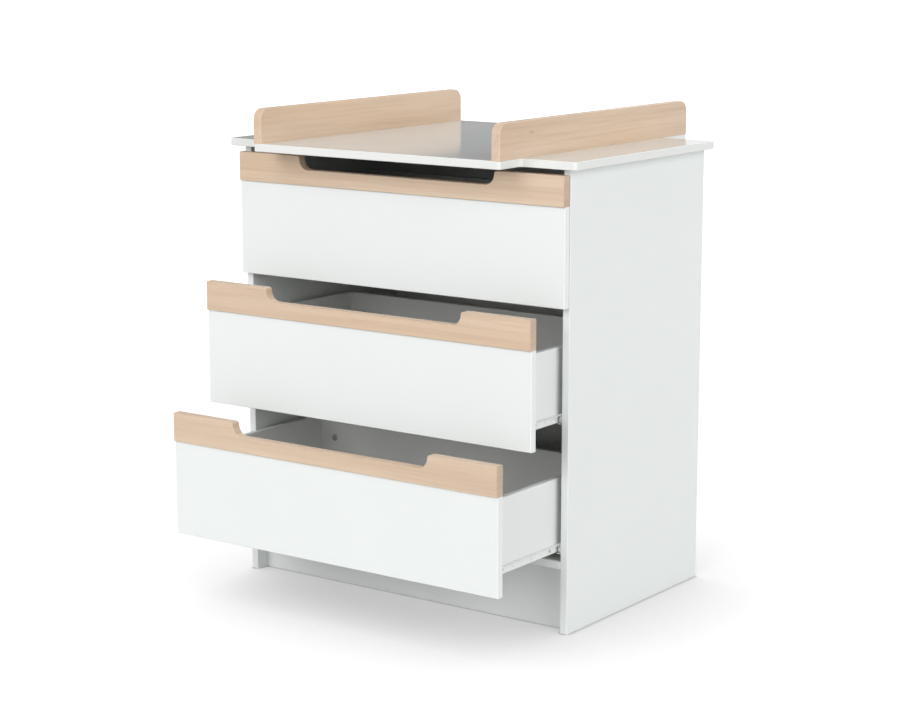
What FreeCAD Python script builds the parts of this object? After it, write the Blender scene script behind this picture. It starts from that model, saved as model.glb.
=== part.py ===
import FreeCAD, Part
import math
import os
from FreeCAD import Vector

# A changing dresser: a carcass of coated boards with three drawers on roller runners, and a
# top that carries two wooden guard boards and reaches out past the carcass at front and back.
# Lengths are millimetres, X to the right seen from the front, Y to the back and Z up.
# The pieces are drawn with y = 0 on the front edges of the side panels, and stored with the
# origin on the floor, under the middle of the plinth board.

# Carcass of coated boards
carcass_width = 800.0
carcass_depth = 500.0
side_thick = 16.0
bottom_thick = 16.0
plinth_thick = 16.0
plinth_height = 128.0
plinth_setback = 30.0
back_sheet_thick = 3.0
back_sheet_inset = 9.0
back_groove_depth = 6.0
board_ease = 1.0

# Top board: wings over the carcass, and a tongue that runs through from front to back
top_thick = 16.0
wing_overhang = 24.0
wing_front = 20.0
tongue_width = 600.0
tongue_front = 90.0
tongue_back = 100.0
top_corner = 6.0
top_step_corner = 8.0
top_ease = 1.0

# Guard boards on the two edges of the tongue
guard_thick = 20.0
guard_height = 70.0
guard_corner = 22.0
guard_ease = 1.8

# Drawer faces: a white front with a wooden rail on its upper edge
front_thick = 16.0
front_height = 193.0
rail_depth = 20.0
rail_height = 59.0
rail_ease = 1.5
face_side_gap = 2.0
face_gap = 4.0
face_foot_gap = 1.0
face_top_gap = 11.0
face_back_gap = 1.0

# Finger notch in the rail's upper edge: a lip that turns down and a fillet onto the floor
notch_width = 479.0
notch_depth = 27.5
notch_lip = 5.5

# Drawer box
runner_gap = 12.5
box_side_thick = 12.0
box_back_thick = 12.0
box_length = 416.0
box_lift = 33.0
box_drop = 15.0
box_bottom_thick = 3.0
box_bottom_lift = 10.0
box_groove_depth = 5.5
box_groove_play = 0.2

# The drawers from the top one down, and how far each stands open at rest
drawers = (("top", 0.0), ("middle", 109.0), ("bottom", 216.0))

# Roller runners in the gap between a drawer box and its side panel
steel = 1.2
runner_length = 420.0
runner_front = 1.0
track_height = 15.0
track_web_gap = 1.8
channel_leg_gap = 1.2
play = 0.3
front_roller_radius = 7.5
front_roller_inset = 8.5
rear_roller_inset = 11.0
roller_width = 6.0
roller_side_play = 0.2
bore_play = 0.05
track_end_gap = 4.0
stud_radius = 2.5
stud_head_radius = 4.0
stud_head_thick = 0.8

# Worked out from the sizes above
drawer_pitch = front_height + rail_height + face_gap
lowest_face = plinth_height + face_foot_gap
side_height = lowest_face + len(drawers) * drawer_pitch - face_gap + face_top_gap
top_level = side_height + top_thick
half_carcass = carcass_width / 2
half_inside = half_carcass - side_thick
half_face = half_carcass - face_side_gap
half_box = half_inside - runner_gap
half_cavity = half_box - box_side_thick
half_tongue = tongue_width / 2
box_height = front_height - box_lift - box_drop
back_sheet_front = carcass_depth - back_sheet_inset - back_sheet_thick
front_roller_level = track_height - steel - play - front_roller_radius
channel_floor = front_roller_level - front_roller_radius - play
channel_roof = track_height + play
rear_roller_level = (channel_floor + channel_roof) / 2
rear_roller_radius = (channel_roof - channel_floor) / 2 - play
origin_y = plinth_setback + plinth_thick / 2

os.makedirs("parts", exist_ok=True)


def save(name, solid):
    """Store a piece in the dresser's own frame."""
    solid.translate(Vector(0, -origin_y, 0))
    solid.exportStep("parts/" + name + ".step")


def block(x, y, z):
    """A box between two X, two Y and two Z values."""
    corner = Vector(min(x), min(y), min(z))
    return Part.makeBox(abs(x[1] - x[0]), abs(y[1] - y[0]), abs(z[1] - z[0]), corner)


def rod(radius, start, end):
    """A round rod between two points."""
    way = end - start
    return Part.makeCylinder(radius, way.Length, start, way)


def rounded_prism(corners, way):
    """A solid from a closed outline of (point, radius) corners, pushed along a vector."""
    starts = []
    ends = []
    middles = []
    for i, (point, radius) in enumerate(corners):
        to_last = (corners[i - 1][0] - point).normalize()
        to_next = (corners[(i + 1) % len(corners)][0] - point).normalize()
        half_angle = to_last.getAngle(to_next) / 2
        starts.append(point + to_last * (radius / math.tan(half_angle)))
        ends.append(point + to_next * (radius / math.tan(half_angle)))
        inward = (to_last + to_next).normalize()
        middles.append(point + inward * (radius / math.sin(half_angle) - radius))
    edges = []
    for i, (point, radius) in enumerate(corners):
        if radius > 0:
            edges.append(Part.Arc(starts[i], middles[i], ends[i]).toShape())
        after = starts[(i + 1) % len(corners)]
        if ends[i].distanceToPoint(after) > 1e-6:
            edges.append(Part.makeLine(ends[i], after))
    return Part.Face(Part.Wire(edges)).extrude(way)


def bevelled(shape, width, keep):
    """The shape with a narrow bevel on the edges whose bounding box passes a test."""
    return shape.makeChamfer(width, [edge for edge in shape.Edges if keep(edge.BoundBox)])


# The carcass

def side_panel(side):
    """A side panel, with the groove for the back sheet; side is -1 left and 1 right."""
    panel = block((side * half_inside, side * half_carcass), (0, carcass_depth), (0, side_height))
    panel = bevelled(panel, board_ease, lambda box: box.YMax < 0.01)
    groove = block((side * half_inside, side * (half_inside + back_groove_depth)),
                   (back_sheet_front, back_sheet_front + back_sheet_thick), (0, side_height))
    return panel.cut(groove)


def bottom_panel():
    """The panel under the lowest drawer, between the sides."""
    panel = block((-half_inside, half_inside), (0, back_sheet_front),
                  (plinth_height, plinth_height + bottom_thick))
    return bevelled(panel, board_ease, lambda box: box.YMax < 0.01)


def plinth_board():
    """The upright board that stands on the floor under the bottom panel, set back."""
    return block((-half_inside, half_inside), (plinth_setback, plinth_setback + plinth_thick),
                 (0, plinth_height))


def back_sheet():
    """The thin sheet that closes the back, held in the side panels' grooves."""
    half_sheet = half_inside + back_groove_depth
    return block((-half_sheet, half_sheet), (back_sheet_front, back_sheet_front + back_sheet_thick),
                 (plinth_height, side_height))


# The top and its guard boards

def top_board():
    """The top: wings at both sides of a tongue that reaches past the carcass at both ends."""
    wing = half_carcass + wing_overhang
    tongue_end = carcass_depth + tongue_back
    right = [(half_tongue, -tongue_front, top_corner),
             (half_tongue, -wing_front, top_step_corner),
             (wing, -wing_front, top_corner),
             (wing, carcass_depth, top_corner),
             (half_tongue, carcass_depth, top_step_corner),
             (half_tongue, tongue_end, top_corner)]
    left = [(-x, y, radius) for x, y, radius in reversed(right)]
    corners = [(Vector(x, y, side_height), radius) for x, y, radius in right + left]
    board = rounded_prism(corners, Vector(0, 0, top_thick))
    return bevelled(board, top_ease, lambda box: box.ZLength < 0.01)


def guard_board(side):
    """An upright board on one edge of the tongue, round at its two upper corners."""
    ends = (-tongue_front, carcass_depth + tongue_back)
    x = side * half_tongue
    crest = top_level + guard_height
    corners = [(Vector(x, ends[0], top_level), 0), (Vector(x, ends[1], top_level), 0),
               (Vector(x, ends[1], crest), guard_corner), (Vector(x, ends[0], crest), guard_corner)]
    board = rounded_prism(corners, Vector(-side * guard_thick, 0, 0))
    return bevelled(board, guard_ease,
                    lambda box: box.XLength < 0.01 and box.ZMax > top_level + 0.01)


# Runners in the carcass

def roller(radius, x, y, z):
    """A nylon roller with its bore, round an X axis through y and z, between two X values."""
    ends = (Vector(x[0], y, z), Vector(x[1], y, z))
    return rod(radius, *ends).cut(rod(stud_radius + bore_play, *ends))


def stud(root, way):
    """The rivet a roller turns on, from the steel's face along a unit vector."""
    neck = root + way * (roller_width + 2 * roller_side_play)
    head = rod(stud_head_radius, neck, neck + way * stud_head_thick)
    return rod(stud_radius, root, neck).fuse(head)


def roller_span(root_x, way):
    """The two X values of a roller on a stud that leaves the steel at root_x."""
    start = root_x + way * roller_side_play
    return (start, start + way * roller_width)


def steel_profile(side, points, y):
    """A folded steel profile drawn as (X, Z) points for the right side, along two Y values."""
    corners = [(Vector(side * px, y[0], pz), 0) for px, pz in points]
    return rounded_prism(corners, Vector(0, y[1] - y[0], 0))


def carcass_runner(side, level):
    """A channel on the side panel, open to the drawer, with a roller stud near its front."""
    web = half_inside - steel
    lip = half_box + steel + channel_leg_gap
    floor = level + channel_floor
    roof = level + channel_roof
    points = [(half_inside, floor - steel), (lip, floor - steel), (lip, floor), (web, floor),
              (web, roof), (lip, roof), (lip, roof + steel), (half_inside, roof + steel)]
    channel = steel_profile(side, points, (runner_front, runner_front + runner_length))
    root = Vector(side * web, runner_front + front_roller_inset, level + front_roller_level)
    return channel.fuse(stud(root, Vector(-side, 0, 0)))


def carcass_roller(side, level):
    """The roller at the front of a channel, under the drawer's track."""
    x = roller_span(side * (half_inside - steel), -side)
    return roller(front_roller_radius, x, runner_front + front_roller_inset,
                  level + front_roller_level)


# The drawers: back is the Y value of the face's rear, foot the height of its lower edge

def bottom_groove(back, foot):
    """The space that the grooves for a drawer's bottom sheet take up all round."""
    reach = half_cavity + box_groove_depth
    level = foot + box_lift + box_bottom_lift
    return block((-reach, reach),
                 (back - box_groove_depth, back + box_length - box_back_thick + box_groove_depth),
                 (level, level + box_bottom_thick + box_groove_play))


def drawer_bottom(back, foot):
    """The bottom sheet, a little smaller than its grooves."""
    reach = half_cavity + box_groove_depth - box_groove_play
    deep = box_groove_depth - box_groove_play
    level = foot + box_lift + box_bottom_lift
    return block((-reach, reach), (back - deep, back + box_length - box_back_thick + deep),
                 (level, level + box_bottom_thick))


def drawer_front(back, foot):
    """The white front, its rear face grooved for the bottom sheet."""
    front = back - front_thick
    board = block((-half_face, half_face), (front, back), (foot, foot + front_height))
    board = bevelled(board, board_ease, lambda box: box.YMax < front + 0.01)
    return board.cut(bottom_groove(back, foot))


def drawer_rail(back, foot):
    """The wooden rail on the front, with the wide shallow finger notch in its upper edge."""
    front = back - rail_depth
    low = foot + front_height
    crest = low + rail_height
    floor = crest - notch_depth
    half_notch = notch_width / 2
    right = [(half_face, low, 0), (half_face, crest, 0), (half_notch, crest, notch_lip),
             (half_notch, floor, notch_depth - notch_lip)]
    left = [(-x, z, radius) for x, z, radius in reversed(right)]
    corners = [(Vector(x, front, z), radius) for x, z, radius in right + left]
    rail = rounded_prism(corners, Vector(0, rail_depth, 0))
    return bevelled(rail, rail_ease,
                    lambda box: box.YLength < 0.01 and (box.YMax < back - 0.01 or box.ZMax > low + 0.01))


def drawer_side(side, back, foot):
    """A side of the box, with its groove for the bottom sheet."""
    level = foot + box_lift
    board = block((side * half_cavity, side * half_box), (back, back + box_length),
                  (level, level + box_height))
    board = bevelled(board, board_ease,
                     lambda box: box.ZMin > level + box_height - 0.01 and box.YLength > 1)
    return board.cut(bottom_groove(back, foot))


def drawer_back(back, foot):
    """The back of the box, between its sides."""
    level = foot + box_lift
    rear = back + box_length
    board = block((-half_cavity, half_cavity), (rear - box_back_thick, rear),
                  (level, level + box_height))
    board = bevelled(board, board_ease,
                     lambda box: box.ZMin > level + box_height - 0.01 and box.XLength > 1)
    return board.cut(bottom_groove(back, foot))


def drawer_runner(side, back, foot):
    """A track under the side's lower edge, with a roller stud behind the track's end."""
    level = foot + box_lift
    leg = half_box + steel
    edge = half_inside - steel - track_web_gap
    under = level + track_height - steel
    points = [(half_cavity, level - steel), (leg, level - steel), (leg, under), (edge, under),
              (edge, level + track_height), (half_box, level + track_height),
              (half_box, level), (half_cavity, level)]
    profile = steel_profile(side, points, (back + runner_front, back + box_length))
    axle = back + box_length - rear_roller_inset
    track_end = axle - rear_roller_radius - track_end_gap
    clearing = block((side * leg, side * half_inside), (track_end, back + box_length + 1),
                     (under - 1, level + track_height + 1))
    root = Vector(side * leg, axle, level + rear_roller_level)
    return profile.cut(clearing).fuse(stud(root, Vector(side, 0, 0)))


def drawer_roller(side, back, foot):
    """The roller at the back of a track, inside the carcass's channel."""
    x = roller_span(side * (half_box + steel), side)
    return roller(rear_roller_radius, x, back + box_length - rear_roller_inset,
                  foot + box_lift + rear_roller_level)


# All pieces

sides = (("left", -1), ("right", 1))

for name, side in sides:
    save("side_panel_" + name, side_panel(side))
    save("guard_board_" + name, guard_board(side))
save("bottom_panel", bottom_panel())
save("plinth_board", plinth_board())
save("back_sheet", back_sheet())
save("top_board", top_board())

for place, (drawer, opened) in enumerate(drawers):
    back = -face_back_gap - opened
    foot = lowest_face + (len(drawers) - 1 - place) * drawer_pitch
    save("drawer_" + drawer + "_front", drawer_front(back, foot))
    save("drawer_" + drawer + "_rail", drawer_rail(back, foot))
    save("drawer_" + drawer + "_back", drawer_back(back, foot))
    save("drawer_" + drawer + "_bottom", drawer_bottom(back, foot))
    for name, side in sides:
        end = drawer + "_" + name
        save("carcass_runner_" + end, carcass_runner(side, foot + box_lift))
        save("carcass_roller_" + end, carcass_roller(side, foot + box_lift))
        save("drawer_side_" + end, drawer_side(side, back, foot))
        save("drawer_runner_" + end, drawer_runner(side, back, foot))
        save("drawer_roller_" + end, drawer_roller(side, back, foot))
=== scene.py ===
import math
import bmesh
import bpy
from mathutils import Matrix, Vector


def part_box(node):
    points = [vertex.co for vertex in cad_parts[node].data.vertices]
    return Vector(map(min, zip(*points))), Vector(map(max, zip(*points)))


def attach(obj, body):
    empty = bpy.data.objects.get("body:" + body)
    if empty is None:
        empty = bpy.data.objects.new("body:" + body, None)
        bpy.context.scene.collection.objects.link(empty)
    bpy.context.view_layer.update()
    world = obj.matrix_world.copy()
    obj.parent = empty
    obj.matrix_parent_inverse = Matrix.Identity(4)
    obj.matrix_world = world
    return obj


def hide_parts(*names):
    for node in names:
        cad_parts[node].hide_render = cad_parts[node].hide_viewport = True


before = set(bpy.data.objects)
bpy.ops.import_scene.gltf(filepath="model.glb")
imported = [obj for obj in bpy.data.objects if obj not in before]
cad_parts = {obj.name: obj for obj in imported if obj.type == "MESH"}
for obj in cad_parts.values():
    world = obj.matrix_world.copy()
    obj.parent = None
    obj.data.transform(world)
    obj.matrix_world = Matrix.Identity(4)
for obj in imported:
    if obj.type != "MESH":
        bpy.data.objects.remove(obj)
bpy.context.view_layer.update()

# ---------------------------------------------------------------------------------------------
# The two side panels: 16 mm chipboard under a white melamine skin, banded on every edge.
# They are sawn square, stand straight on the floor, and carry the bottom, the plinth and the top.

panel_white = (0.826, 0.855, 0.849)
band_white = (0.845, 0.870, 0.864)
band_arris = 0.0004
board_gloss = 0.34
band_skin = {"gloss": 0.36, "cloudy": 0.005, "smeared": 0.01, "emboss": 0.00001}
cloud_scale = 5.0
smear_scale = 9.0
emboss_scale = 520.0
emboss_strength = 0.25
same_spot = 1e-6
same_plane = math.radians(0.5)
broad_face = 0.9


def add_node(tree, kind, settings=None, **inputs):
    """A node with its settings, and each given input either linked to a socket or set. An input
    is named, or goes by its place as i0, i1 and so on."""
    node = tree.nodes.new(kind)
    for key, value in (settings or {}).items():
        setattr(node, key, value)
    for key, value in inputs.items():
        by_place = key[0] == "i" and key[1:].isdigit()
        socket = node.inputs[int(key[1:]) if by_place else key.replace("_", " ")]
        if isinstance(value, bpy.types.NodeSocket):
            tree.links.new(value, socket)
        else:
            socket.default_value = value
    return node


def new_finish(name, colour, roughness):
    """A material with its shader, and the object's own coordinates for its pattern."""
    finish = bpy.data.materials.new(name)
    finish.use_nodes = True
    finish.diffuse_color = (*colour, 1.0)
    tree = finish.node_tree
    shader = tree.nodes["Principled BSDF"]
    shader.inputs["Base Color"].default_value = (*colour, 1.0)
    shader.inputs["Roughness"].default_value = roughness
    place = add_node(tree, "ShaderNodeTexCoord").outputs["Object"]
    return finish, tree, shader, place


def noise(tree, place, scale, detail=2.0, rough=0.5):
    """The grey value of a noise of so many cells to the metre."""
    return add_node(tree, "ShaderNodeTexNoise", Vector=place, Scale=scale, Detail=detail,
                    Roughness=rough).outputs["Fac"]


def blend_colour(tree, amount, first, second):
    """A colour between two others; each is a colour or a socket."""
    mix = add_node(tree, "ShaderNodeMix", {"data_type": "RGBA"})
    tree.links.new(amount, mix.inputs[0])
    for socket, value in ((mix.inputs[6], first), (mix.inputs[7], second)):
        if isinstance(value, bpy.types.NodeSocket):
            tree.links.new(value, socket)
        else:
            socket.default_value = (*value, 1.0)
    return mix.outputs[2]


def stretch(tree, value, low, high, start=0.3, end=0.7):
    """A value that runs from start to end spread onto low to high."""
    spread = add_node(tree, "ShaderNodeMapRange", Value=value)
    for socket, number in zip(spread.inputs[1:5], (start, end, low, high)):
        socket.default_value = number
    return spread.outputs["Result"]


def relief(tree, shader, height, strength, depth):
    """A shallow relief in a finish, so many metres deep."""
    bump = add_node(tree, "ShaderNodeBump", Height=height, Strength=strength, Distance=depth)
    tree.links.new(bump.outputs["Normal"], shader.inputs["Normal"])


def melamine(name, colour, gloss, cloudy=0.012, smeared=0.03, emboss=0.00003):
    """A white skin of melamine or lacquer: an even tone with a trace of cloud in it, and a fine
    pearl emboss."""
    finish, tree, shader, place = new_finish(name, colour, gloss)
    cloud = noise(tree, place, cloud_scale, 2.0)
    duller = tuple(channel * (1.0 - cloudy) for channel in colour)
    tree.links.new(blend_colour(tree, stretch(tree, cloud, 0.0, 1.0), duller, colour),
                   shader.inputs["Base Color"])
    smear = noise(tree, place, smear_scale, 3.0)
    tree.links.new(stretch(tree, smear, gloss - smeared, gloss + smeared),
                   shader.inputs["Roughness"])
    relief(tree, shader, noise(tree, place, emboss_scale, 2.0), emboss_strength, emboss)
    return finish


def shade_softly(mesh, crease=40.0):
    """Flat faces keep their own normal, and the rounded arrises between them run smoothly on."""
    limit = math.cos(math.radians(crease))
    around = [[] for _ in mesh.vertices]
    for face in mesh.polygons:
        face.use_smooth = True
        for vertex in face.vertices:
            around[vertex].append(face)
    normals = []
    for face in mesh.polygons:
        for vertex in face.vertices:
            total = Vector()
            for other in around[vertex]:
                if other.normal.dot(face.normal) > limit:
                    total += other.normal * other.area
            normals.append(total.normalized())
    mesh.normals_split_custom_set(normals)


def place_mesh(name, mesh, body, stands_for=()):
    """Makes a plain mesh into a piece of the dresser that rides on a body."""
    mesh.name = name
    shade_softly(mesh)
    piece = bpy.data.objects.new(name, mesh)
    bpy.context.scene.collection.objects.link(piece)
    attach(piece, body)
    if stands_for:
        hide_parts(*stands_for)


def place_shape(name, shape, body, finishes, stands_for=()):
    """Makes a shape into a piece with its finishes."""
    mesh = bpy.data.meshes.new(name)
    shape.normal_update()
    shape.to_mesh(mesh)
    shape.free()
    for finish in finishes:
        mesh.materials.append(finish)
    mesh.update()
    place_mesh(name, mesh, body, stands_for)


def cad_shape(node):
    """A CAD piece's own shape, its doubled points merged and its flat faces made whole."""
    shape = bmesh.new()
    shape.from_mesh(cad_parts[node].data)
    bmesh.ops.remove_doubles(shape, verts=shape.verts, dist=same_spot)
    bmesh.ops.dissolve_limit(shape, angle_limit=same_plane, verts=shape.verts, edges=shape.edges)
    return shape


def round_arrises(shape, radius, steps=2, sharper=25.0, held_back=True):
    """Rounds every outward edge of a shape that is sharper than an angle. Held back, all
    arrises are as narrow as the tightest place asks."""
    shape.normal_update()
    edges = [edge for edge in shape.edges
             if edge.is_convex and edge.calc_face_angle() > math.radians(sharper)]
    bmesh.ops.bevel(shape, geom=edges, offset=radius, offset_type="OFFSET", segments=steps,
                    profile=0.5, affect="EDGES", clamp_overlap=held_back)


def band_edges(shape, thickness_axis):
    """Faces that look along the board's plane get the second finish, the edge band's."""
    shape.normal_update()
    for face in shape.faces:
        if abs(face.normal[thickness_axis]) < broad_face:
            face.material_index = 1


def place_board(name, node, body, thickness_axis, face_finish):
    """A sawn and banded board in a CAD board's place."""
    board = cad_shape(node)
    round_arrises(board, band_arris)
    band_edges(board, thickness_axis)
    place_shape(name, board, body, (face_finish, band_finish), [node])


board_finish = melamine("board_melamine", panel_white, board_gloss)
band_finish = melamine("board_edge_band", band_white, **band_skin)

for side in ("left", "right"):
    place_board("panel_" + side, "side_panel_" + side, "carcass", 0, board_finish)

# ---------------------------------------------------------------------------------------------
# The bottom panel and the plinth: two more white boards between the sides. The plinth stands
# on the floor, set back from the front, and takes the bottom's weight in the middle.

place_board("bottom_rounded", "bottom_panel", "carcass", 2, board_finish)
place_board("plinth_rounded", "plinth_board", "carcass", 1, board_finish)

# ---------------------------------------------------------------------------------------------
# The back: a 3 mm fibreboard sheet, lacquered white on both faces, pushed down into grooves in
# the side panels before the top goes on.

sheet_white = (0.80, 0.808, 0.800)
sheet_gloss = 0.46
sheet_skin = {"cloudy": 0.02, "smeared": 0.04, "emboss": 0.00006}

sheet_finish = melamine("fibre_sheet", sheet_white, sheet_gloss, **sheet_skin)
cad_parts["back_sheet"].material_slots[0].material = sheet_finish

# ---------------------------------------------------------------------------------------------
# The top: a white board in a smoother lacquer, cut so that a tongue reaches out past the
# carcass at front and back between two wings. Its corners and both rims are rounded.

# The top's white is the panels' white made some seven hundredths darker. That is painted shade, so
# that the top's broad face reads grey as in a low light.
top_white_painted_shade = (0.772, 0.795, 0.788)
rim_white = (0.802, 0.814, 0.795)
lacquer_skin = {"gloss": 0.11, "cloudy": 0.006, "smeared": 0.012, "emboss": 0.000004}
lacquer_ior = 1.42
top_corner = 0.006
top_step_corner = 0.008
top_rim = 0.0016
tongue_half = 0.300
wing_ends = (-0.058, 0.462)


def rounded_outline(corners, arc_steps):
    """Points round a closed outline of (u, v, radius) corners, anticlockwise. Where one arc ends
    as the next begins they share a point."""
    points = []
    for index, (u, v, radius) in enumerate(corners):
        here = Vector((u, v))
        if radius == 0:
            points.append(here)
            continue
        last = (Vector(corners[index - 1][:2]) - here).normalized()
        after = (Vector(corners[(index + 1) % len(corners)][:2]) - here).normalized()
        half = last.angle(after) / 2
        centre = here + (last + after).normalized() * (radius / math.sin(half))
        start = here + last * (radius / math.tan(half)) - centre
        end = here + after * (radius / math.tan(half)) - centre
        sweep = start.angle_signed(end)
        for step in range(arc_steps + 1):
            angle = -sweep * step / arc_steps
            points.append(centre + Vector((
                start.x * math.cos(angle) - start.y * math.sin(angle),
                start.x * math.sin(angle) + start.y * math.cos(angle))))
    return [point for index, point in enumerate(points)
            if (point - points[index - 1]).length > same_spot]


def cut_out(points, low, high, axis, rim, rim_steps=4, foot=None):
    """A board cut to an outline, between two values on an axis, with its two rims rounded.
    Edges at the height of its foot stay sharp."""
    def lift(point, level):
        """A point of the outline, at a level on the axis."""
        spot = [point.x, point.y]
        spot.insert(axis, level)
        return spot

    shape = bmesh.new()
    rings = [[shape.verts.new(lift(point, level)) for point in points] for level in (low, high)]
    shape.faces.new(rings[0])
    shape.faces.new(rings[1])
    for index in range(len(points)):
        after = (index + 1) % len(points)
        shape.faces.new((rings[0][index], rings[0][after], rings[1][after], rings[1][index]))
    bmesh.ops.recalc_face_normals(shape, faces=shape.faces)
    rims = [edge for edge in shape.edges
            if abs(edge.verts[0].co[axis] - edge.verts[1].co[axis]) < same_spot
            and not (foot is not None and all(abs(vertex.co.z - foot) < same_spot
                                              for vertex in edge.verts))]
    bmesh.ops.bevel(shape, geom=rims, offset=rim, offset_type="OFFSET", segments=rim_steps,
                    profile=0.5, affect="EDGES", clamp_overlap=True)
    return shape


top_painted_shade_finish = melamine("top_lacquer_painted_shade", top_white_painted_shade, **lacquer_skin)
top_painted_shade_finish.node_tree.nodes["Principled BSDF"].inputs["IOR"].default_value = lacquer_ior
rim_finish = melamine("top_rim_lacquer", rim_white, **band_skin)

top_low, top_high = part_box("top_board")
right_edge = [(tongue_half, top_low.y, top_corner), (tongue_half, wing_ends[0], top_step_corner),
              (top_high.x, wing_ends[0], top_corner), (top_high.x, wing_ends[1], top_corner),
              (tongue_half, wing_ends[1], top_step_corner), (tongue_half, top_high.y, top_corner)]
left_edge = [(-u, v, radius) for u, v, radius in reversed(right_edge)]
top_outline = rounded_outline(right_edge + left_edge, arc_steps=8)
top_shape = cut_out(top_outline, top_low.z, top_high.z, 2, top_rim)
band_edges(top_shape, 2)
place_shape("top_rounded", top_shape, "carcass", (top_painted_shade_finish, rim_finish),
            ["top_board"])

# ---------------------------------------------------------------------------------------------
# The two guard boards on the tongue's edges: pale beech, 20 mm thick, grain along their length,
# round at the upper corners and softened on every arris. They are screwed on from under the top.

wood_pale = (0.722, 0.562, 0.424)
wood_mid = (0.630, 0.466, 0.338)
wood_warm = (0.706, 0.524, 0.362)
wood_deep = (0.480, 0.330, 0.222)
wood_gloss = 0.42
ring_gloss = (0.36, 0.50)
sway_cells = (1.6, 9.0)
wander_cells = (1.3, 5.0)
band_cells = (0.9, 30.0)
ring_cells = (3.5, 150.0)
fibre_cells = (14.0, 620.0)
fleck_cells = (120.0, 1500.0)
wander_reach = (0.9, 0.9, 0.9)
warmest = 0.55
ring_depth = 0.34
fibre_depth = 0.24
fleck_depth = 0.50
fibre_strength = 0.25
fibre_relief = 0.00005
guard_corner = 0.022
guard_arris = 0.0026
guard_knot = (0.300, -0.021, 0.967)
knot_squeeze = (0.5, 0.4, 1.0)
knot_core = 0.0010
knot_edge = 0.0052
knot_depth = 0.62


def beech(name, grain_axis, shift, shade=1.0, knot=None):
    """Pale beech with its grain along an axis: broad bands, long fibres and short dark flecks,
    and where asked a small soft knot. A shade under one darkens every tone: painted shade."""
    pale, mid, warm, deep = (tuple(channel * shade for channel in tone)
                             for tone in (wood_pale, wood_mid, wood_warm, wood_deep))
    finish, tree, shader, place = new_finish(name, mid, wood_gloss)

    def drawn_out(cells):
        """Coordinates with so many cells to the metre along the grain and across it."""
        lengthwise, crosswise = cells
        scale = [crosswise, crosswise, crosswise]
        scale[grain_axis] = lengthwise
        return add_node(tree, "ShaderNodeMapping", Vector=place, Scale=scale,
                        Location=shift).outputs["Vector"]

    sway = noise(tree, drawn_out(sway_cells), 1.0, 2.0)
    wander = add_node(tree, "ShaderNodeTexNoise", Vector=drawn_out(wander_cells), Scale=1.0,
                      Detail=1.0)
    bent = add_node(tree, "ShaderNodeVectorMath", {"operation": "MULTIPLY_ADD"},
                    i0=wander.outputs["Color"], i1=wander_reach, i2=drawn_out(band_cells))
    bands = noise(tree, bent.outputs["Vector"], 1.0, 4.0, 0.55)
    rings = noise(tree, drawn_out(ring_cells), 1.0, 3.0, 0.6)
    fibres = noise(tree, drawn_out(fibre_cells), 1.0, 3.0, 0.6)
    flecks = noise(tree, drawn_out(fleck_cells), 1.0, 1.0)
    tone = mid
    for grain, depth, start, end, tint in ((bands, 1.0, 0.36, 0.64, pale),
                                           (sway, warmest, 0.44, 0.70, warm),
                                           (rings, ring_depth, 0.46, 0.74, deep),
                                           (fibres, fibre_depth, 0.46, 0.78, deep),
                                           (flecks, fleck_depth, 0.68, 0.80, deep)):
        tone = blend_colour(tree, stretch(tree, grain, 0.0, depth, start, end), tone, tint)
    if knot is not None:
        off = add_node(tree, "ShaderNodeVectorMath", {"operation": "SUBTRACT"}, i0=place, i1=knot)
        near = add_node(tree, "ShaderNodeVectorMath", {"operation": "MULTIPLY"},
                        i0=off.outputs["Vector"], i1=knot_squeeze)
        spread = add_node(tree, "ShaderNodeVectorMath", {"operation": "LENGTH"},
                          i0=near.outputs["Vector"]).outputs["Value"]
        dark = stretch(tree, spread, knot_depth, 0.0, start=knot_core, end=knot_edge)
        tone = blend_colour(tree, dark, tone, deep)
    tree.links.new(tone, shader.inputs["Base Color"])
    tree.links.new(stretch(tree, rings, *ring_gloss), shader.inputs["Roughness"])
    relief(tree, shader, fibres, fibre_strength, fibre_relief)
    return finish


guard_finish = beech("guard_beech", 1, (0.31, 0.12, 0.55), knot=guard_knot)

for side in ("left", "right"):
    low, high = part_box("guard_board_" + side)
    outline = rounded_outline([(low.y, low.z, 0), (high.y, low.z, 0),
                               (high.y, high.z, guard_corner), (low.y, high.z, guard_corner)],
                              arc_steps=12)
    guard = cut_out(outline, low.x, high.x, 0, guard_arris, foot=low.z)
    place_shape("guard_" + side, guard, "carcass", (guard_finish,),
                ["guard_board_" + side])

# ---------------------------------------------------------------------------------------------
# The three drawer faces: a white front, and screwed on its upper edge a beech rail with a wide
# shallow finger notch, whose ends turn down over a lip and run out in a fillet.

notch_half = 0.2395
notch_depth = 0.0275
notch_lip = 0.0055
rail_arris = 0.0011
# The darker tone of the rail's end faces and notch walls is painted shade.
rail_end_painted_shade = 0.84
end_and_notch_wall_turn = 0.55
drawers = ("top", "middle", "bottom")

rail_finish = {"top": beech("rail_beech_top", 0, (0.10, 0.20, 0.05)),
               "middle": beech("rail_beech_middle", 0, (0.60, 0.45, 0.30)),
               "bottom": beech("rail_beech_bottom", 0, (0.25, 0.80, 0.65))}
rail_end_grain_and_painted_shade = beech("rail_beech_end_painted_shade", 1, (0.40, 0.15, 0.70), rail_end_painted_shade)

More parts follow.
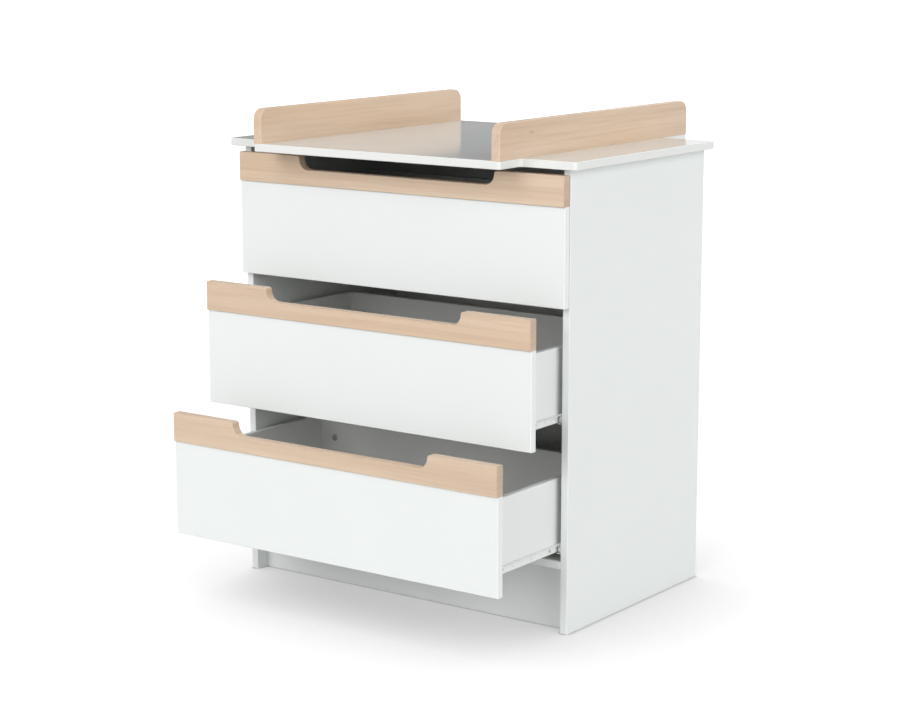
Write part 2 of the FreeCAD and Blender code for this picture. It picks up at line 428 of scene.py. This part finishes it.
for drawer in drawers:
    body = "drawer_" + drawer
    place_board("front_" + drawer, body + "_front", body, 1, board_finish)

    low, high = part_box(body + "_rail")
    notch_floor = high.z - notch_depth
    right_half = [(high.x, low.z, 0), (high.x, high.z, 0), (notch_half, high.z, notch_lip),
                  (notch_half, notch_floor, notch_depth - notch_lip)]
    left_half = [(-u, v, radius) for u, v, radius in reversed(right_half)]
    rail_outline = rounded_outline(right_half + left_half, arc_steps=10)
    rail = cut_out(rail_outline, low.y, high.y, 1, rail_arris)
    # Faces turned along X, the rail's ends and the notch's end walls, take beech with its grain
    # across, made darker. The grain across is the ends' own, and the darker tone is painted shade.
    rail.normal_update()
    for face in rail.faces:
        if abs(face.normal.x) > end_and_notch_wall_turn:
            face.material_index = 1
    place_shape("rail_" + drawer, rail, body, (rail_finish[drawer], rail_end_grain_and_painted_shade),
                [body + "_rail"])

# ---------------------------------------------------------------------------------------------
# The three drawer boxes: 12 mm white sides and backs, doweled and held by cams, round a thin
# bottom sheet in grooves, its grey darkened as painted shade for the dim inside of the drawers.

box_white = (0.800, 0.818, 0.808)
box_gloss = 0.38
# The bottom sheet's grey is painted shade: it is darker than a white sheet so that the drawers look
# dim inside.
bottom_painted_shade_grey = (0.56, 0.553, 0.515)
bottom_gloss = 0.44

box_finish = melamine("box_melamine", box_white, box_gloss)
bottom_painted_shade_finish = melamine("drawer_bottom_painted_shade", bottom_painted_shade_grey, bottom_gloss, **sheet_skin)

for drawer in drawers:
    body = "drawer_" + drawer
    for side in ("left", "right"):
        place_board(drawer + "_box_" + side, "drawer_side_" + drawer + "_" + side, body, 0,
                    box_finish)
    place_board(drawer + "_box_back", body + "_back", body, 1, box_finish)
    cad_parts[body + "_bottom"].material_slots[0].material = bottom_painted_shade_finish

# ---------------------------------------------------------------------------------------------
# The roller runners: steel folded 1.2 mm thick under a white epoxy powder, a channel on each
# side panel and a track under each box side, with a row of punched holes in their webs.

powder_white = (0.84, 0.845, 0.84)
powder_gloss = 0.36
dust_scale = 30.0
dust_shade = 0.94
dust_smoother = 0.06
dust_rougher = 0.08
peel_scale = 380.0
peel_strength = 0.3
peel_depth = 0.00006
runner_steel = 0.0012
fold_round = 0.00035
hole_radius = 0.0022
hole_pitch = 0.032
hole_start = 0.068
hole_level = 0.0068
holes = 9
punch_length = 0.006
punch_sides = 20
cut_scale = 1000.0


def powder_coat(name, colour, gloss):
    """Epoxy powder, or the skin of nylon: an even tone, a soft gloss and a fine orange peel."""
    finish, tree, shader, place = new_finish(name, colour, gloss)
    dust = noise(tree, place, dust_scale, 4.0)
    duller = tuple(channel * dust_shade for channel in colour)
    tree.links.new(blend_colour(tree, stretch(tree, dust, 0.0, 1.0), colour, duller),
                   shader.inputs["Base Color"])
    tree.links.new(stretch(tree, dust, gloss - dust_smoother, gloss + dust_rougher),
                   shader.inputs["Roughness"])
    relief(tree, shader, noise(tree, place, peel_scale, 2.0), peel_strength, peel_depth)
    return finish


def new_tree(name, sizes):
    """A Geometry Nodes tree with named inputs; returns it, its inputs' sockets, and their
    identifiers."""
    tree = bpy.data.node_groups.new(name, "GeometryNodeTree")
    face = tree.interface
    face.new_socket("Geometry", in_out="INPUT", socket_type="NodeSocketGeometry")
    identifiers = {}
    for label, (kind, value) in sizes.items():
        socket = face.new_socket(label, in_out="INPUT", socket_type="NodeSocket" + kind)
        if value is not None:
            socket.default_value = value
        identifiers[label] = socket.identifier
    face.new_socket("Geometry", in_out="OUTPUT", socket_type="NodeSocketGeometry")
    return tree, tree.nodes.new("NodeGroupInput").outputs, identifiers


def close_tree(tree, geometry, finish):
    """Ends a tree in real geometry with its finish."""
    real = add_node(tree, "GeometryNodeRealizeInstances", Geometry=geometry)
    painted = add_node(tree, "GeometryNodeSetMaterial", Geometry=real.outputs[0], Material=finish)
    end = tree.nodes.new("NodeGroupOutput")
    tree.links.new(painted.outputs[0], end.inputs[0])


def sums(tree, operation, first, second):
    """One step of arithmetic between two sockets or numbers."""
    step = add_node(tree, "ShaderNodeMath", {"operation": operation}, i0=first, i1=second)
    return step.outputs[0]


def along(tree, **lengths):
    """A vector with some of its X, Y and Z set."""
    return add_node(tree, "ShaderNodeCombineXYZ", **lengths).outputs[0]


def resized(tree, geometry, factor):
    """The same shape so many times as large, about the origin."""
    return add_node(tree, "GeometryNodeTransform", Geometry=geometry,
                    Scale=(factor, factor, factor)).outputs[0]


def carved(tree, operation, tools, whole=None):
    """An enlarged shape less its tools, or what the tools have in common. Tools come in at their
    own size, and the result is enlarged too, because only at that size the cutting is exact."""
    cut = add_node(tree, "GeometryNodeMeshBoolean", {"operation": operation, "solver": "MANIFOLD"})
    if whole is not None:
        tree.links.new(whole, cut.inputs["Mesh 1"])
    for tool in tools:
        tree.links.new(resized(tree, tool, cut_scale), cut.inputs["Mesh 2"])
    return cut.outputs["Mesh"]


def punched_web_tree():
    """Steel in, the same steel out with a row of round holes punched through it along Y."""
    tree, given, identifiers = new_tree("punched_web", {
        "First Hole": ("Vector", None), "Hole Radius": ("Float", hole_radius),
        "Pitch": ("Float", hole_pitch), "Holes": ("Int", holes), "Steel": ("Material", None)})
    row = add_node(tree, "GeometryNodeMeshLine", {"mode": "OFFSET"}, Count=given["Holes"],
                   Start_Location=given["First Hole"], Offset=along(tree, Y=given["Pitch"]))
    punch = add_node(tree, "GeometryNodeMeshCylinder", Vertices=punch_sides,
                     Radius=given["Hole Radius"], Depth=punch_length)
    punches = add_node(tree, "GeometryNodeInstanceOnPoints", Points=row.outputs[0],
                       Instance=punch.outputs[0], Rotation=(0.0, math.pi / 2, 0.0))
    cutters = add_node(tree, "GeometryNodeRealizeInstances", Geometry=punches.outputs[0])
    punched = carved(tree, "DIFFERENCE", [cutters.outputs[0]],
                     whole=resized(tree, given["Geometry"], cut_scale))
    close_tree(tree, resized(tree, punched, 1.0 / cut_scale), given["Steel"])
    return tree, identifiers


def run_tree(name, source, tree, identifiers, values):
    """Puts a tree on a mesh with its inputs set, and returns the plain mesh it makes."""
    maker = bpy.data.objects.new(name, source)
    bpy.context.scene.collection.objects.link(maker)
    work = maker.modifiers.new(name, "NODES")
    work.node_group = tree
    for label, value in values.items():
        work[identifiers[label]] = value
    bpy.context.view_layer.update()
    depsgraph = bpy.context.evaluated_depsgraph_get()
    made = bpy.data.meshes.new_from_object(maker.evaluated_get(depsgraph))
    maker.modifiers.remove(work)
    bpy.data.objects.remove(maker)
    bpy.data.meshes.remove(source)
    return made


def set_out(length):
    """A place as a workshop marks it out, to a tenth of a millimetre."""
    return round(length, 4)


runner_finish = powder_coat("runner_powder", powder_white, powder_gloss)
web_tree, web_inputs = punched_web_tree()
panel_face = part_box("side_panel_right")[0].x
box_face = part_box("drawer_side_top_right")[1].x
channel_web = set_out(panel_face - runner_steel / 2)
track_web = set_out(box_face + runner_steel / 2)

for drawer in drawers:
    for side, way in (("left", -1.0), ("right", 1.0)):
        end = drawer + "_" + side
        box_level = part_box("drawer_side_" + end)[0].z
        for node, body, web in (("carcass_runner_" + end, "carcass", channel_web),
                                ("drawer_runner_" + end, "drawer_" + drawer, track_web)):
            steel = cad_shape(node)
            round_arrises(steel, fold_round, 1, held_back=False)
            folded = bpy.data.meshes.new(node)
            steel.to_mesh(folded)
            steel.free()
            made = run_tree(node + "_punched", folded, web_tree, web_inputs, {
                "First Hole": (way * web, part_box(node)[0].y + hole_start, box_level + hole_level),
                "Steel": runner_finish})
            place_mesh(node + "_punched", made, body, [node])

# ---------------------------------------------------------------------------------------------
# The twelve rollers: turned nylon rings with a softened tread and a shallow groove in each
# face, loose on riveted studs. Six stand in the carcass and six run with the drawers.

nylon_white = (0.80, 0.79, 0.76)
nylon_gloss = 0.30
roller_bore = 0.00255
roller_tread = 0.0006
tread_turn = 0.3
hub_radius = 0.0040
groove_foot = 0.0044
groove_end = 0.0019
rim_width = 0.0014
face_groove = 0.0007
turn_steps = 48

roller_finish = powder_coat("roller_nylon", nylon_white, nylon_gloss)


def roller_face(x, inward, radius):
    """One face of a roller as (x, radius) points, from its bore out to its tread."""
    groove_x = x + inward * face_groove
    return [(x, roller_bore), (x, hub_radius), (groove_x, groove_foot),
            (groove_x, radius - groove_end), (x, radius - rim_width), (x, radius - roller_tread),
            (x + inward * tread_turn * roller_tread, radius - tread_turn * roller_tread),
            (x + inward * roller_tread, radius)]


def turned_ring(profile, centre_y, centre_z):
    """A ring turned from a closed outline of (x, radius) points round an X axis."""
    shape = bmesh.new()
    rings = []
    for step in range(turn_steps):
        angle = 2 * math.pi * step / turn_steps
        rings.append([shape.verts.new((x, centre_y + radius * math.cos(angle),
                                       centre_z + radius * math.sin(angle)))
                      for x, radius in profile])
    for step in range(turn_steps):
        here, there = rings[step], rings[(step + 1) % turn_steps]
        for index in range(len(profile)):
            after = (index + 1) % len(profile)
            shape.faces.new((here[index], here[after], there[after], there[index]))
    bmesh.ops.recalc_face_normals(shape, faces=shape.faces)
    return shape


for drawer in drawers:
    for side in ("left", "right"):
        for node, body in (("carcass_roller_", "front_roller_"),
                           ("drawer_roller_", "rear_roller_")):
            end = drawer + "_" + side
            low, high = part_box(node + end)
            radius = (high.z - low.z) / 2
            profile = roller_face(low.x, 1.0, radius) + roller_face(high.x, -1.0, radius)[::-1]
            ring = turned_ring(profile, (low.y + high.y) / 2, (low.z + high.z) / 2)
            place_shape(body + end + "_turned", ring, body + end, (roller_finish,),
                        [node + end])

# ---------------------------------------------------------------------------------------------
# The fasteners, zinc-plated: pan screws in the runners, countersunk screws under the top that
# hold the guard boards, and cross-headed cams that pull the boards together on dowels.

screw_zinc = (0.60, 0.60, 0.585)
screw_gloss = 0.30
cam_zinc = (0.62, 0.62, 0.605)
cam_gloss = 0.42
patch_scale = 260.0
patch_shade = 0.72
patch_smoother = 0.08
patch_rougher = 0.12
scratch_scale = 2400.0
scratch_strength = 0.3
scratch_depth = 0.00003
head_segments = 32
dome_rings = 40
pan = {"Head Radius": 0.0035, "Head Height": 0.0012, "Dome Radius": 0.0070,
       "Recess Span": 0.0038, "Recess Width": 0.0009, "Recess Depth": 0.0009}
countersunk = {"Head Radius": 0.0040, "Head Height": 0.0003, "Dome Radius": 0.0600,
               "Recess Span": 0.0044, "Recess Width": 0.0010, "Recess Depth": 0.0003}
cam = {"Head Radius": 0.0075, "Head Height": 0.0005, "Dome Radius": 0.0700,
       "Recess Span": 0.0082, "Recess Width": 0.0018, "Recess Depth": 0.0005}
guard_screws = 4
guard_screw_inset = 0.035
runner_screw_row = (0.036, 0.196, 0.356)
runner_screw_level = 0.00675
channel_setback = 0.001
cam_inset = 0.034
cam_row_inset = 0.060
back_cam_out = 0.3208
box_cam_levels = (0.035, 0.099)


def zinc_plate(name, colour, gloss):
    """Zinc plate on steel: a soft metal gloss with cloudy patches and fine scratches."""
    finish, tree, shader, place = new_finish(name, colour, gloss)
    shader.inputs["Metallic"].default_value = 1.0
    patches = noise(tree, place, patch_scale, 4.0)
    duller = tuple(channel * patch_shade for channel in colour)
    tree.links.new(blend_colour(tree, stretch(tree, patches, 0.0, 1.0), colour, duller),
                   shader.inputs["Base Color"])
    tree.links.new(stretch(tree, patches, gloss - patch_smoother, gloss + patch_rougher),
                   shader.inputs["Roughness"])
    relief(tree, shader, noise(tree, place, scratch_scale, 2.0), scratch_strength, scratch_depth)
    return finish


def fastener_tree():
    """Points in, a domed head with a cross recess on each out, a pan screw's if nothing else is
    set, turned at random about the direction in which the point faces. One bar of the cross cuts
    deeper than the other."""
    sizes = {label: ("Float", size) for label, size in pan.items()}
    tree, given, identifiers = new_tree("fastener_heads", {
        **sizes, "Turn Seed": ("Int", 1), "Plate": ("Material", None)})
    stem = add_node(tree, "GeometryNodeMeshCylinder", Vertices=head_segments,
                    Radius=given["Head Radius"],
                    Depth=sums(tree, "MULTIPLY", given["Head Height"], 2.0))
    ball = add_node(tree, "GeometryNodeMeshUVSphere", Segments=head_segments, Rings=dome_rings,
                    Radius=given["Dome Radius"])
    sunk = sums(tree, "SUBTRACT", given["Head Height"], given["Dome Radius"])
    ball_down = add_node(tree, "GeometryNodeTransform", Geometry=ball.outputs[0],
                         Translation=along(tree, Z=sunk),
                         Rotation=(0.0, 0.0, math.pi / head_segments))
    domed = carved(tree, "INTERSECT", [stem.outputs[0], ball_down.outputs[0]])
    bars = []
    for across, ahead, times in (("Recess Span", "Recess Width", 2.0),
                                 ("Recess Width", "Recess Span", 1.8)):
        deep = sums(tree, "MULTIPLY", given["Recess Depth"], times)
        bar = add_node(tree, "GeometryNodeMeshCube",
                       Size=along(tree, X=given[across], Y=given[ahead], Z=deep))
        bar_up = add_node(tree, "GeometryNodeTransform", Geometry=bar.outputs[0],
                          Translation=along(tree, Z=given["Head Height"]))
        bars.append(bar_up.outputs[0])
    crossed = carved(tree, "DIFFERENCE", bars, whole=domed)
    facing = add_node(tree, "GeometryNodeInputNamedAttribute", {"data_type": "FLOAT_VECTOR"},
                      Name="facing")
    upright = add_node(tree, "FunctionNodeAlignRotationToVector", {"axis": "Z"},
                       Vector=facing.outputs[0])
    angle = add_node(tree, "FunctionNodeRandomValue", {"data_type": "FLOAT"}, i2=0.0,
                     i3=math.pi / 2, Seed=given["Turn Seed"])
    spin = add_node(tree, "FunctionNodeAxisAngleToRotation", Axis=(0.0, 0.0, 1.0),
                    Angle=angle.outputs[1])
    turned = add_node(tree, "FunctionNodeRotateRotation", {"rotation_space": "LOCAL"},
                      i0=upright.outputs[0], i1=spin.outputs[0])
    heads = add_node(tree, "GeometryNodeInstanceOnPoints", Points=given["Geometry"],
                     Instance=resized(tree, crossed, 1.0 / cut_scale), Rotation=turned.outputs[0])
    close_tree(tree, heads.outputs[0], given["Plate"])
    return tree, identifiers


def points_facing(name, spots):
    """A mesh of loose points, each with the direction it faces."""
    mesh = bpy.data.meshes.new(name)
    mesh.from_pydata([spot for spot, way in spots], [], [])
    facing = mesh.attributes.new("facing", "FLOAT_VECTOR", "POINT")
    for index, (spot, way) in enumerate(spots):
        facing.data[index].vector = way
    return mesh


screw_finish = zinc_plate("zinc_screw", screw_zinc, screw_gloss)
cam_finish = zinc_plate("zinc_cam", cam_zinc, cam_gloss)
head_tree, head_inputs = fastener_tree()


def put_fasteners(name, body, spots, plate, sizes, seed):
    """One piece with all heads of a kind on a body."""
    made = run_tree(name, points_facing(name + "_points", spots), head_tree, head_inputs,
                    {**sizes, "Turn Seed": seed, "Plate": plate})
    place_mesh(name, made, body)


guard_spots = []
for side in ("left", "right"):
    low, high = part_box("guard_board_" + side)
    pitch = (high.y - low.y - 2 * guard_screw_inset) / (guard_screws - 1)
    for step in range(guard_screws):
        guard_spots.append(((set_out((low.x + high.x) / 2),
                             set_out(low.y + guard_screw_inset + step * pitch), top_low.z),
                            (0, 0, -1)))
put_fasteners("guard_screws", "carcass", guard_spots, screw_finish, countersunk, seed=3)

bottom_low, bottom_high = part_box("bottom_panel")
plinth_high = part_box("plinth_board")[1]
cam_columns = (set_out(cam_inset - panel_face), set_out(panel_face - cam_inset))
cam_rows = (set_out(bottom_low.y + cam_row_inset), set_out(bottom_high.y - cam_row_inset))
plinth_level = set_out(plinth_high.z / 2)
panel_level = set_out(top_low.z - cam_inset)
carcass_cams = [((x, y, bottom_low.z), (0, 0, -1)) for x in cam_columns for y in cam_rows]
carcass_cams += [((x, plinth_high.y, plinth_level), (0, 1, 0)) for x in cam_columns]
carcass_cams += [((x, y, panel_level), (-x, 0, 0)) for x in (-panel_face, panel_face)
                 for y in cam_rows]
put_fasteners("carcass_cams", "carcass", carcass_cams, cam_finish, cam, seed=5)

channel_out = set_out(panel_face - runner_steel)
track_out = set_out(box_face + runner_steel)
channel_spots = []
for index, drawer in enumerate(drawers):
    body = "drawer_" + drawer
    back_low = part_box(body + "_back")[0]
    track_spots = []
    box_cams = []
    for side, way in (("left", -1.0), ("right", 1.0)):
        end = drawer + "_" + side
        side_low, side_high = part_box("drawer_side_" + end)
        channel_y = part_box("carcass_runner_" + end)[0].y - channel_setback
        screw_level = side_low.z + runner_screw_level
        for y in runner_screw_row:
            channel_spots.append(((way * channel_out, channel_y + y, screw_level), (-way, 0, 0)))
            track_spots.append(((way * track_out, side_low.y + y, screw_level), (way, 0, 0)))
        inner = side_low.x if way > 0 else side_high.x
        for up in box_cam_levels:
            box_cams.append(((way * back_cam_out, back_low.y, back_low.z + up), (0, -1, 0)))
            box_cams.append(((inner, side_low.y + cam_inset, side_low.z + up), (-way, 0, 0)))
    put_fasteners("track_screws_" + drawer, body, track_spots, screw_finish, pan, seed=11 + index)
    put_fasteners("box_cams_" + drawer, body, box_cams, cam_finish, cam, seed=21 + index)
put_fasteners("channel_screws", "carcass", channel_spots, screw_finish, pan, seed=7)

# ---------------------------------------------------------------------------------------------
# The place it is shown in: a pale floor that runs on without an edge, two broad soft lamps, one
# in front and one to the right, both rather low, a weaker high one behind, and a faint even
# light from all round. A dark flag behind, out of the shot, keeps the top's gloss from glaring.

floor_half = 40.0
floor_bounce = (0.63, 0.63, 0.63, 1.0)
floor_shown = (0.25, 0.25, 0.25, 1.0)
glow_reach = (1.2, 4.0)
glow_levels = (0.86, 1.05)
painted_shadow_lean = (-0.25, -0.13, 1.0)
painted_shadow_reach = 0.56
painted_shadow_range = (0.20, 0.88)
painted_shadow_levels = (0.52, 1.0)
contact_shadow_reach = 0.016
contact_shadow_range = (0.50, 0.85)
contact_shadow_levels = (0.40, 1.0)
shade_rays = 16
white_light = (1.0, 1.0, 1.0, 1.0)
faint_light = 0.29
lamp_spread = math.radians(50.0)
flag_left = (-6.5, 0.6)
flag_right = (-2.0, 3.86)
flag_foot = 1.15
flag_head = 3.2
flag_grey = (0.10, 0.10, 0.10, 1.0)
flag_roughness = 0.9
camera_place = (2.6681, -3.5664, 1.3510)
camera_tilt = math.radians(79.076)
camera_turn = math.radians(35.818)
camera_reach = 60.0
lens_length = 90.21
film_width = 36.0


def place_set(name, corners):
    """One flat face of the set, which isn't part of the dresser."""
    mesh = bpy.data.meshes.new(name)
    mesh.from_pydata(corners, [], [(0, 1, 2, 3)])
    backdrop = bpy.data.objects.new(name, mesh)
    bpy.context.scene.collection.objects.link(backdrop)
    return backdrop


def shown_apart(tree, output, for_light, for_show):
    """Ends a tree with one shader for the light it gives and another for how it is seen,
    straight or in a gloss or through glass."""
    ray = add_node(tree, "ShaderNodeLightPath").outputs
    mirrored = sums(tree, "MAXIMUM", ray["Is Camera Ray"], ray["Is Glossy Ray"])
    seen = sums(tree, "MAXIMUM", mirrored, ray["Is Transmission Ray"])
    choice = add_node(tree, "ShaderNodeMixShader", i0=seen, i1=for_light.outputs[0],
                      i2=for_show.outputs[0])
    add_node(tree, output, Surface=choice.outputs[0])


floor = place_set("studio_floor", [(-floor_half, -floor_half, 0), (floor_half, -floor_half, 0),
                                   (floor_half, floor_half, 0), (-floor_half, floor_half, 0)])
floor_finish = bpy.data.materials.new("studio_floor")
floor_finish.use_nodes = True
tree = floor_finish.node_tree
tree.nodes.clear()
place = add_node(tree, "ShaderNodeTexCoord").outputs["Object"]
away = add_node(tree, "ShaderNodeVectorMath", {"operation": "LENGTH"}, Vector=place)
sweep = stretch(tree, away.outputs["Value"], *glow_levels, *glow_reach)
# The floor's glow carries a painted shadow: ambient occlusion, its sampling leaned a little to the
# left and front, darkens the glow round the dresser.
leaning = add_node(tree, "ShaderNodeVectorMath", {"operation": "NORMALIZE"}, i0=painted_shadow_lean)
open_sky = add_node(tree, "ShaderNodeAmbientOcclusion", {"samples": shade_rays},
                    Distance=painted_shadow_reach, Normal=leaning.outputs["Vector"])
shadow = stretch(tree, open_sky.outputs["AO"], *painted_shadow_levels, *painted_shadow_range)
# A short occlusion paints a dark contact line where the boards meet the floor.
contact = add_node(tree, "ShaderNodeAmbientOcclusion", {"samples": shade_rays},
                   Distance=contact_shadow_reach)
painted_contact_shadow = stretch(tree, contact.outputs["AO"], *contact_shadow_levels, *contact_shadow_range)
glow = sums(tree, "MULTIPLY", sweep, sums(tree, "MULTIPLY", shadow, painted_contact_shadow))
lit = add_node(tree, "ShaderNodeBsdfDiffuse", Color=floor_bounce)
shown = add_node(tree, "ShaderNodeBsdfDiffuse", Color=floor_shown)
lift = add_node(tree, "ShaderNodeEmission", Color=white_light, Strength=glow)
both = add_node(tree, "ShaderNodeAddShader", i0=shown.outputs[0], i1=lift.outputs[0])
shown_apart(tree, "ShaderNodeOutputMaterial", lit, both)
floor.data.materials.append(floor_finish)

scene = bpy.context.scene
world = bpy.data.worlds.new("studio")
scene.world = world
world.use_nodes = True
tree = world.node_tree
tree.nodes.clear()
soft = add_node(tree, "ShaderNodeBackground", Color=white_light, Strength=faint_light)
white = add_node(tree, "ShaderNodeBackground", Color=white_light, Strength=1.0)
shown_apart(tree, "ShaderNodeOutputWorld", soft, white)

for name, way, strength in (("front_lamp", (-0.15, -1.0, 0.55), 1.86),
                            ("right_lamp", (1.0, -0.25, 0.36), 1.70),
                            ("back_lamp", (-0.35, 1.0, 1.10), 0.64)):
    lamp = bpy.data.lights.new(name, "SUN")
    lamp.angle = lamp_spread
    lamp.energy = strength
    lamp_object = bpy.data.objects.new(name, lamp)
    scene.collection.objects.link(lamp_object)
    lamp_object.rotation_euler = Vector(way).to_track_quat("Z", "Y").to_euler()

flag = place_set("dark_flag", [(*flag_left, flag_foot), (*flag_right, flag_foot),
                               (*flag_right, flag_head), (*flag_left, flag_head)])
flag.visible_camera = False
flag_finish = bpy.data.materials.new("dark_flag")
flag_finish.use_nodes = True
flag_shader = flag_finish.node_tree.nodes["Principled BSDF"]
flag_shader.inputs["Base Color"].default_value = flag_grey
flag_shader.inputs["Roughness"].default_value = flag_roughness
flag.data.materials.append(flag_finish)

scene.view_settings.view_transform = "Standard"

camera = bpy.data.cameras.new("camera")
camera.sensor_width = film_width
camera.lens = lens_length
camera.clip_end = camera_reach
camera_object = bpy.data.objects.new("camera", camera)
scene.collection.objects.link(camera_object)
camera_object.location = camera_place
camera_object.rotation_euler = (camera_tilt, 0.0, camera_turn)
scene.camera = camera_object
